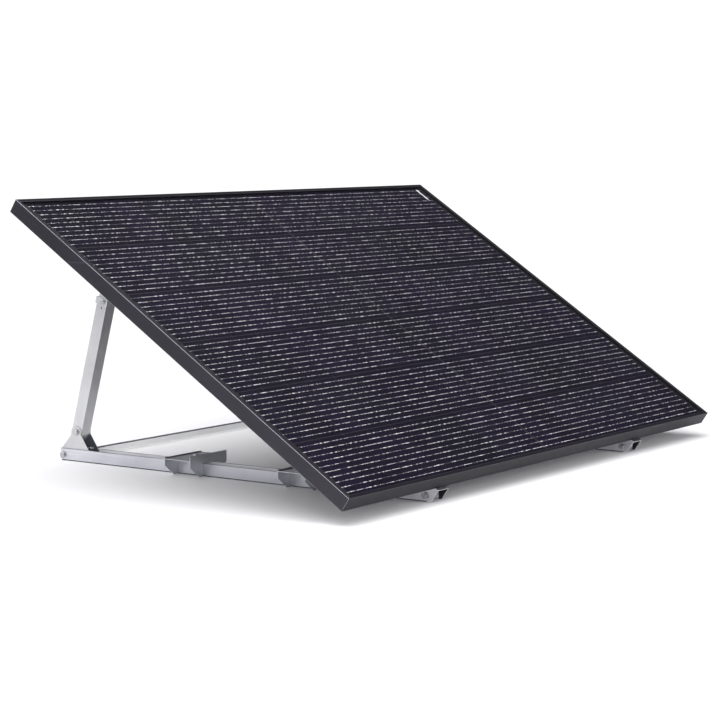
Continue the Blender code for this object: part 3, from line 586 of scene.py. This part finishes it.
for number in (1, 2, 3):
    nodeName = f"junction_box_lid_{number}"
    points = [slope.inverted() @ vert.co for vert in frame["nodes"][nodeName].data.vertices]
    low = Vector([min(point[axis] for point in points) for axis in range(3)])
    high = Vector([max(point[axis] for point in points) for axis in range(3)])
    shape = boxShape(low, high)
    outside = min(shape.faces, key=lambda face: face.calc_center_median().z)
    bmesh.ops.inset_individual(shape, faces=[outside], thickness=lid["border"])
    bmesh.ops.translate(shape, verts=outside.verts, vec=(0, 0, lid["sunk"]))
    roundEdges(shape, sharpEdges(shape), lid["edge"], 2)
    middle = (low + high) / 2
    for rib in range(lid["ribs"]):
        across = middle.y + (rib - (lid["ribs"] - 1) / 2) * lid["ribPitch"]
        ribShape = boxShape(
            Vector((middle.x - lid["ribLength"], across - lid["ribWidth"] / 2, low.z)),
            Vector((
                middle.x + lid["ribLength"], across + lid["ribWidth"] / 2,
                low.z + lid["sunk"] + lid["ribRoot"])),
        )
        roundEdges(ribShape, sharpEdges(ribShape), lid["edge"], 2)
        joinShape(shape, ribShape)
    for endSide in (-1, 1):
        for longSide in (-1, 1):
            place = Vector((
                middle.x + endSide * ((high.x - low.x) / 2 - lid["screwInset"]),
                middle.y + longSide * ((high.y - low.y) / 2 - lid["screwInset"]), low.z - lid["screwHeight"]))
            screw = bmesh.new()
            bmesh.ops.create_circle(
                screw, cap_ends=True, cap_tris=False, segments=lid["screwAround"], radius=lid["screwRadius"]
            )
            thicken(screw, lid["screwHeight"] + lid["screwRoot"])
            roundEdges(screw, sharpEdges(screw), lid["screwEdge"], 2)
            bmesh.ops.translate(screw, vec=place, verts=screw.verts)
            joinShape(shape, screw)
    bmesh.ops.transform(shape, matrix=slope, verts=shape.verts)
    finishSolid(nodeName, shape, finishes["plastic"])
print("junction box lids made")


# Bolts, screws and glands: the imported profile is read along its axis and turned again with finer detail
turned = {
    "around": 48, "chamferAngle": 30.0, "faceShare": 0.95, "washerShare": 0.93, "washerStep": 0.0004,
    "dishShare": 0.62, "dishDepth": 0.0005, "pitch": 0.00125, "threadDepth": 0.00055, "endChamfer": 0.0006,
    "threadShortest": 0.001, "threadLongest": 0.006, "threadWidest": 0.005, "stepShare": 0.9,
}


def readTurned(nodeName, axis):
    mesh = frame["nodes"][nodeName].data
    axis = Vector(axis).normalized()
    total = Vector()
    for vert in mesh.vertices:
        total += vert.co
    centre = total / len(mesh.vertices)
    across = [vert.co - centre - axis * axis.dot(vert.co - centre) for vert in mesh.vertices]
    sideways = max(across, key=lambda offset: offset.length).normalized()
    spans = {}
    for polygon in mesh.polygons:
        if abs(polygon.normal.dot(axis)) > 0.5:
            continue
        heights = [axis.dot(mesh.vertices[index].co - centre) for index in polygon.vertices]
        radii = [across[index].length for index in polygon.vertices]
        key = (round(min(heights), 5), round(max(heights), 5))
        spans.setdefault(key, []).extend(zip(heights, radii))
    parts = []
    for (bottom, top), samples in sorted(spans.items()):
        if top - bottom < 0.00005:
            continue
        atBottom = [radius for height, radius in samples if abs(height - bottom) < 0.0001]
        atTop = [radius for height, radius in samples if abs(height - top) < 0.0001]
        hexagonal = max(atBottom) - min(atBottom) > 0.03 * max(atBottom)
        parts.append((bottom, top, hexagonal, min(atBottom), min(atTop)))
    return centre, axis, sideways, parts


def hexRadius(angle, flat):
    return flat / math.cos(angle % (math.pi / 3) - math.pi / 6)


def hexRings(bottom, top, flat, bottomCut, topCut):
    # Rings as (height, radius) functions of the angle: a cut end is chamfered like a turned blank,
    # and the other end has a round washer face
    slopeOfCut = math.tan(math.radians(turned["chamferAngle"]))
    inner = flat * turned["faceShare"]
    washer = flat * turned["washerShare"]

    def drop(angle):
        return (hexRadius(angle, flat) - inner) * slopeOfCut

    def corner(angle):
        return hexRadius(angle, flat)

    def endRings(level, inward, cut):
        if cut:
            return [
                (lambda angle: level, lambda angle: inner),
                (lambda angle: level + inward * drop(angle), corner),
            ]
        step = level + inward * turned["washerStep"]
        return [
            (lambda angle: level, lambda angle: washer), (lambda angle: step, lambda angle: washer),
            (lambda angle: step, corner),
        ]

    return endRings(bottom, 1, bottomCut) + endRings(top, -1, topCut)[::-1]


def roundRings(bottom, top, firstRadius, lastRadius, bottomFree, topFree, threaded):
    cut = min(turned["endChamfer"], (top - bottom) / 4)
    rings = []

    def add(height, radius):
        rings.append((lambda angle: height, lambda angle: radius))

    add(bottom, firstRadius - (cut if bottomFree else 0))
    start, end = bottom, top
    if bottomFree:
        add(bottom + cut, firstRadius)
        start = bottom + cut
    if topFree:
        end = top - cut
    if threaded:
        turns = int((end - start) / turned["pitch"])
        for number in range(turns):
            valley = start + (number + 0.5) * (end - start) / turns
            add(valley, firstRadius - turned["threadDepth"])
            if number < turns - 1:
                add(start + (number + 1) * (end - start) / turns, firstRadius)
    if topFree:
        add(top - cut, lastRadius)
    add(top, lastRadius - (cut if topFree else 0))
    return rings


def turnAgain(nodeName, axis, finish):
    centre, axis, sideways, parts = readTurned(nodeName, axis)
    other = axis.cross(sideways)
    rings = []
    for number, (bottom, top, hexagonal, firstRadius, lastRadius) in enumerate(parts):
        before = parts[number - 1][3] if number else 0.0
        after = parts[number + 1][3] if number + 1 < len(parts) else 0.0
        if hexagonal:
            atStart, atEnd = number == 0, number == len(parts) - 1
            rings += hexRings(bottom, top, firstRadius, atStart or not atEnd, atEnd or not atStart)
            continue
        bottomFree = number == 0 or before < firstRadius * turned["stepShare"]
        topFree = number == len(parts) - 1 or after < lastRadius * turned["stepShare"]
        threadLike = turned["threadShortest"] < top - bottom < turned["threadLongest"]
        threaded = threadLike and firstRadius < turned["threadWidest"]
        rings += roundRings(bottom, top, firstRadius, lastRadius, bottomFree, topFree, threaded)
    shape = bmesh.new()
    made = []
    for height, radius in rings:
        ring = []
        for step in range(turned["around"]):
            angle = 2 * math.pi * step / turned["around"]
            outward = sideways * math.cos(angle) + other * math.sin(angle)
            ring.append(shape.verts.new(centre + axis * height(angle) + outward * radius(angle)))
        made.append(ring)
    for ring, following in zip(made, made[1:]):
        for step in range(turned["around"]):
            after = (step + 1) % turned["around"]
            shape.faces.new((ring[step], ring[after], following[after], following[step]))
    for ring, rises, headed in ((made[0], 1, parts[0][2]), (made[-1], -1, parts[-1][2])):
        cap = shape.faces.new(ring)
        size = sum((vert.co - centre - axis * axis.dot(vert.co - centre)).length for vert in ring) / len(ring)
        bmesh.ops.inset_individual(shape, faces=[cap], thickness=size * (1 - turned["dishShare"]))
        if headed:
            bmesh.ops.translate(shape, verts=cap.verts, vec=axis * rises * turned["dishDepth"])
    bmesh.ops.recalc_face_normals(shape, faces=shape.faces)
    return finishSolid(nodeName, shape, finish)


slopeNormal = slope.to_3x3() @ Vector((0, 0, 1))
for nodeName in list(frame["nodes"]):
    if "ballast_bolt" in nodeName or "shoe_bolt" in nodeName:
        turnAgain(nodeName, (0, 0, 1), finishes["boltSteel"])
    elif "module_bolt" in nodeName:
        turnAgain(nodeName, slopeNormal, finishes["boltSteel"])
    elif "bolt" in nodeName or "screw" in nodeName:
        turnAgain(nodeName, (1, 0, 0), finishes["boltSteel"])
    elif "gland" in nodeName:
        turnAgain(nodeName, (1, 0, 0), finishes["plastic"])
print("turned pieces made")


# Cells, ribbons and solder pads, laid on a black backing between the glass and the backsheet
cells = {
    "rows": 6, "perHalf": 9, "rowPitch": 0.186, "pitch": 0.092, "length": 0.091, "height": 0.182,
    "middleGap": 0.008, "corner": 0.0030, "thickness": 0.0002,
    "ribbons": 10, "ribbonPitch": 0.0174, "ribbonWidth": 0.0012, "ribbonThickness": 0.00012,
    "ribbonReach": 0.004, "ribbonCorner": 0.45, "padLength": 0.009, "padWidth": 0.0024, "padInset": 0.009,
    "padThickness": 1.6, "backing": 0.0004, "backingMargin": 0.003,
}
# Heights below the top of the frame
layers = {"lip": 0.0015, "gap": 0.0003, "glass": 0.0032, "cells": 0.001}


def plateShape(size, thickness, corner=0.0, segments=1):
    shape = bmesh.new()
    bmesh.ops.create_grid(shape, x_segments=1, y_segments=1, size=0.5)
    bmesh.ops.scale(shape, vec=(size[0], size[1], 1), verts=shape.verts)
    if corner:
        bmesh.ops.bevel(
            shape, geom=list(shape.verts), offset=corner, offset_type="OFFSET", affect="VERTICES",
            segments=segments, profile=0.5, material=-1,
        )
    thicken(shape, thickness)
    return shape


def repeatShape(shape, places):
    # Copies the whole shape to each place, and removes the one at the origin
    first = list(shape.verts) + list(shape.edges) + list(shape.faces)
    copies = []
    for place in places:
        made = bmesh.ops.duplicate(shape, geom=first)["geom"]
        bmesh.ops.translate(shape, vec=place, verts=vertsIn(made))
        copies.append([part for part in made if isinstance(part, bmesh.types.BMFace)])
    bmesh.ops.delete(shape, geom=vertsIn(first), context="VERTS")
    return copies


def layOnSlope(shape, vec=(0, 0, 0)):
    bmesh.ops.translate(shape, vec=vec, verts=shape.verts)
    bmesh.ops.transform(shape, matrix=slope, verts=shape.verts)


layerTop = -(layers["lip"] + layers["gap"] + layers["glass"]) - layers["gap"]
layerBottom = layerTop - layers["cells"]
halfSpan = cells["perHalf"] * cells["pitch"]
sideMargin = (module["length"] - 2 * halfSpan - cells["middleGap"]) / 2
frontMargin = (module["width"] - (cells["rows"] - 1) * cells["rowPitch"] - cells["height"]) / 2


def halfStart(half):
    return sideMargin + half * (halfSpan + cells["middleGap"])


def rowMiddle(row):
    return frontMargin + cells["height"] / 2 + row * cells["rowPitch"]


cellPlaces = []
for row in range(cells["rows"]):
    for half in range(2):
        for column in range(cells["perHalf"]):
            along = halfStart(half) + (column + 0.5) * cells["pitch"]
            cellPlaces.append(Vector((along, rowMiddle(row), layerBottom + cells["backing"])))
ribbonHeights = [
    (number - (cells["ribbons"] - 1) / 2) * cells["ribbonPitch"] for number in range(cells["ribbons"])
]

backingSize = (module["length"] - 2 * cells["backingMargin"], module["width"] - 2 * cells["backingMargin"])
backingShape = plateShape(backingSize, cells["backing"])
layOnSlope(backingShape, (module["length"] / 2, module["width"] / 2, layerBottom))
makePiece("blackBacking", backingShape, finishes["seal"], "module", ("cell_layer",))

cellShape = plateShape((cells["length"], cells["height"]), cells["thickness"], cells["corner"])
cellCopies = repeatShape(cellShape, cellPlaces)
toneLayer = cellShape.loops.layers.float_color.new("cellTone")
for number, faces in enumerate(cellCopies):
    # An uneven but repeatable tone for each cell
    tone = math.modf(math.sin(number * 12.9898 + 4.1) * 437.585)[0] % 1.0
    for face in faces:
        for loop in face.loops:
            loop[toneLayer] = (tone, tone, tone, 1)
layOnSlope(cellShape)
makePiece("halfCutCells", cellShape, finishes["cell"], "module")

ribbonLength = halfSpan + 2 * cells["ribbonReach"]
ribbonShape = plateShape(
    (ribbonLength, cells["ribbonWidth"]), cells["ribbonThickness"],
    cells["ribbonWidth"] * cells["ribbonCorner"], 2,
)
ribbonPlaces = []
padPlaces = []
ribbonRise = layerBottom + cells["backing"] + cells["thickness"]
for row in range(cells["rows"]):
    for height in ribbonHeights:
        for half in range(2):
            ribbonPlaces.append(Vector((halfStart(half) + halfSpan / 2, rowMiddle(row) + height, ribbonRise)))
            for column in range(cells["perHalf"]):
                middle = halfStart(half) + (column + 0.5) * cells["pitch"]
                for side in (-1, 1):
                    along = middle + side * (cells["length"] / 2 - cells["padInset"])
                    padPlaces.append(Vector((along, rowMiddle(row) + height, ribbonRise)))
repeatShape(ribbonShape, ribbonPlaces)
layOnSlope(ribbonShape)
makePiece("ribbons", ribbonShape, finishes["ribbon"], "module")
padThickness = cells["ribbonThickness"] * cells["padThickness"]
padShape = plateShape((cells["padLength"], cells["padWidth"]), padThickness)
repeatShape(padShape, padPlaces)
layOnSlope(padShape)
makePiece("solderPads", padShape, finishes["ribbon"], "module")

# Sealant bead where the glass meets the frame's lip
bead = {"inset": 0.0093, "width": 0.0016, "bottom": -0.0017, "height": 0.0011, "rounding": 0.0007}
beadShape = bmesh.new()
bmesh.ops.create_grid(beadShape, x_segments=1, y_segments=1, size=0.5)
bmesh.ops.scale(beadShape, verts=beadShape.verts, vec=(
    module["length"] - 2 * bead["inset"], module["width"] - 2 * bead["inset"], 1))
bmesh.ops.translate(beadShape, verts=beadShape.verts, vec=(
    module["length"] / 2, module["width"] / 2, bead["bottom"]))
beadFace = list(beadShape.faces)[0]
bmesh.ops.inset_individual(beadShape, faces=[beadFace], thickness=bead["width"])
bmesh.ops.delete(beadShape, geom=[beadFace], context="FACES_ONLY")
thicken(beadShape, bead["height"])
beadTop = bead["bottom"] + bead["height"]
roundEdges(beadShape, [
    edge for edge in sharpEdges(beadShape) if all(abs(vert.co.z - beadTop) < 0.00001 for vert in edge.verts)
], bead["rounding"], 3)
layOnSlope(beadShape)
makePiece("sealantBead", beadShape, finishes["seal"], "module")

# A blank label under the glass, in the rear right corner
labelStrip = {
    "width": 0.008, "length": 0.050, "fromRight": 0.042, "fromRear": 0.045, "below": 0.0002,
    "thickness": 0.0001, "corner": 0.0006,
}
labelShape = plateShape(
    (labelStrip["width"], labelStrip["length"]), labelStrip["thickness"], labelStrip["corner"], 2
)
layOnSlope(labelShape, (
    module["length"] - labelStrip["fromRight"], module["width"] - labelStrip["fromRear"],
    layerTop - labelStrip["below"]))
makePiece("blankLabelStrip", labelShape, finishes["label"], "module")
print("cells laid:", len(cellPlaces), "ribbons:", len(ribbonPlaces), "pads:", len(padPlaces))

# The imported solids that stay: glass, backsheet, corner keys and diodes
for nodeName, node in frame["nodes"].items():
    if node.hide_render:
        continue
    finish = {"front_glass": "glass", "backsheet": "back"}.get(nodeName, "plastic")
    node.data.materials.clear()
    node.data.materials.append(finishes["railAlloy" if "key" in nodeName else finish])

# Studio: pale floor, soft lights, camera
studio = {
    "floorRadius": 14.0, "floorBelow": 0.0002, "floorColour": (0.90, 0.90, 0.91, 1), "nearRadius": 1.4,
    "farRadius": 2.8, "farGlow": 1.05, "worldDark": (0.095, 0.091, 0.112, 1),
    "worldBright": (0.78, 0.78, 0.80, 1), "brightSide": (-0.80, 0.55, 0.25),
    "backdrop": (1.05, 1.05, 1.05, 1),
    "lights": [
        # name, place, aim, size, watts, seen in gloss
        ("overhead", (-0.8, -0.3, 4.0), (0, 0, 0), 6.0, 260.0, True),
        ("leftFill", (-3.7, -2.0, 0.95), (0, 0.3, 0.05), 2.4, 100.0, False),
        ("frontFill", (0.8, -4.4, 1.2), (0, -0.6, 0.0), 2.4, 90.0, False),
    ],
}
floorShape = bmesh.new()
bmesh.ops.create_circle(
    floorShape, cap_ends=True, cap_tris=False, segments=96, radius=studio["floorRadius"]
)
bmesh.ops.translate(floorShape, vec=(0, 0, -studio["floorBelow"]), verts=floorShape.verts)
floorMesh = bpy.data.meshes.new("studioFloor")
floorShape.to_mesh(floorMesh)
floorShape.free()
floor = bpy.data.objects.new("studioFloor", floorMesh)
bpy.context.scene.collection.objects.link(floor)
floorMaterial, floorTree, floorShader, floorCoords = startMaterial("paleFloor")
setInputs(floorTree, floorShader, {
    "Base Color": studio["floorColour"], "Roughness": 0.6, "Specular IOR Level": 0.2})
# Far from the object the floor glows white, so that it has no horizon
distance = addNode(floorTree, "ShaderNodeVectorMath", {0: floorCoords}, operation="LENGTH")
far = mapValue(floorTree, distance.outputs["Value"], studio["nearRadius"], studio["farRadius"], 0.0, 1.0)
floorSeen = addNode(floorTree, "ShaderNodeLightPath")
farSeen = addNode(floorTree, "ShaderNodeMath", {
    0: far, 1: floorSeen.outputs["Is Camera Ray"]}, operation="MULTIPLY")
white = addNode(floorTree, "ShaderNodeEmission", {"Color": (1, 1, 1, 1), "Strength": studio["farGlow"]})
faded = addNode(floorTree, "ShaderNodeMixShader", {
    0: farSeen.outputs[0], 1: floorShader.outputs["BSDF"], 2: white.outputs["Emission"]})
floorTree.links.new(faded.outputs["Shader"], floorTree.nodes["Material Output"].inputs["Surface"])
floorMesh.materials.append(floorMaterial)


def addLight(name, place, aim, size, watts, glossy):
    light = bpy.data.lights.new(name, "AREA")
    light.shape = "DISK"
    light.size = size
    light.energy = watts
    lamp = bpy.data.objects.new(name, light)
    lamp.location = place
    lamp.rotation_mode = "QUATERNION"
    lamp.rotation_quaternion = (Vector(aim) - Vector(place)).to_track_quat("-Z", "Y")
    lamp.visible_glossy = glossy
    bpy.context.scene.collection.objects.link(lamp)


for settings in studio["lights"]:
    addLight(*settings)

world = bpy.data.worlds.new("softStudio")
bpy.context.scene.world = world
world.use_nodes = True
worldTree = world.node_tree
background = worldTree.nodes["Background"]
worldCoords = addNode(worldTree, "ShaderNodeTexCoord")
towards = addNode(worldTree, "ShaderNodeVectorMath", {
    0: worldCoords.outputs["Generated"], 1: studio["brightSide"]}, operation="DOT_PRODUCT")
glow = mapValue(worldTree, towards.outputs["Value"], -0.45, 0.85, 0.0, 1.0)
glowColour = mixColours(worldTree, glow, studio["worldDark"], studio["worldBright"])
seen = addNode(worldTree, "ShaderNodeLightPath")
setInputs(worldTree, background, {
    "Color": mixColours(worldTree, seen.outputs["Is Camera Ray"], glowColour, studio["backdrop"]),
    "Strength": 1.0,
})

viewpoint = {
    "place": (-4.5806, -3.2005, 0.8373), "forward": (0.816077, 0.568394, -0.104621), "lens": 108.8,
    "sensor": 36.0, "sees": 60.0,
}
cameraData = bpy.data.cameras.new("mainCamera")
cameraData.lens = viewpoint["lens"]
cameraData.sensor_width = viewpoint["sensor"]
cameraData.clip_end = viewpoint["sees"]
mainCamera = bpy.data.objects.new("mainCamera", cameraData)
mainCamera.location = viewpoint["place"]
mainCamera.rotation_mode = "QUATERNION"
mainCamera.rotation_quaternion = Vector(viewpoint["forward"]).to_track_quat("-Z", "Y")
bpy.context.scene.collection.objects.link(mainCamera)
bpy.context.scene.camera = mainCamera
bpy.context.scene.view_settings.view_transform = "Standard"
print("studio ready")
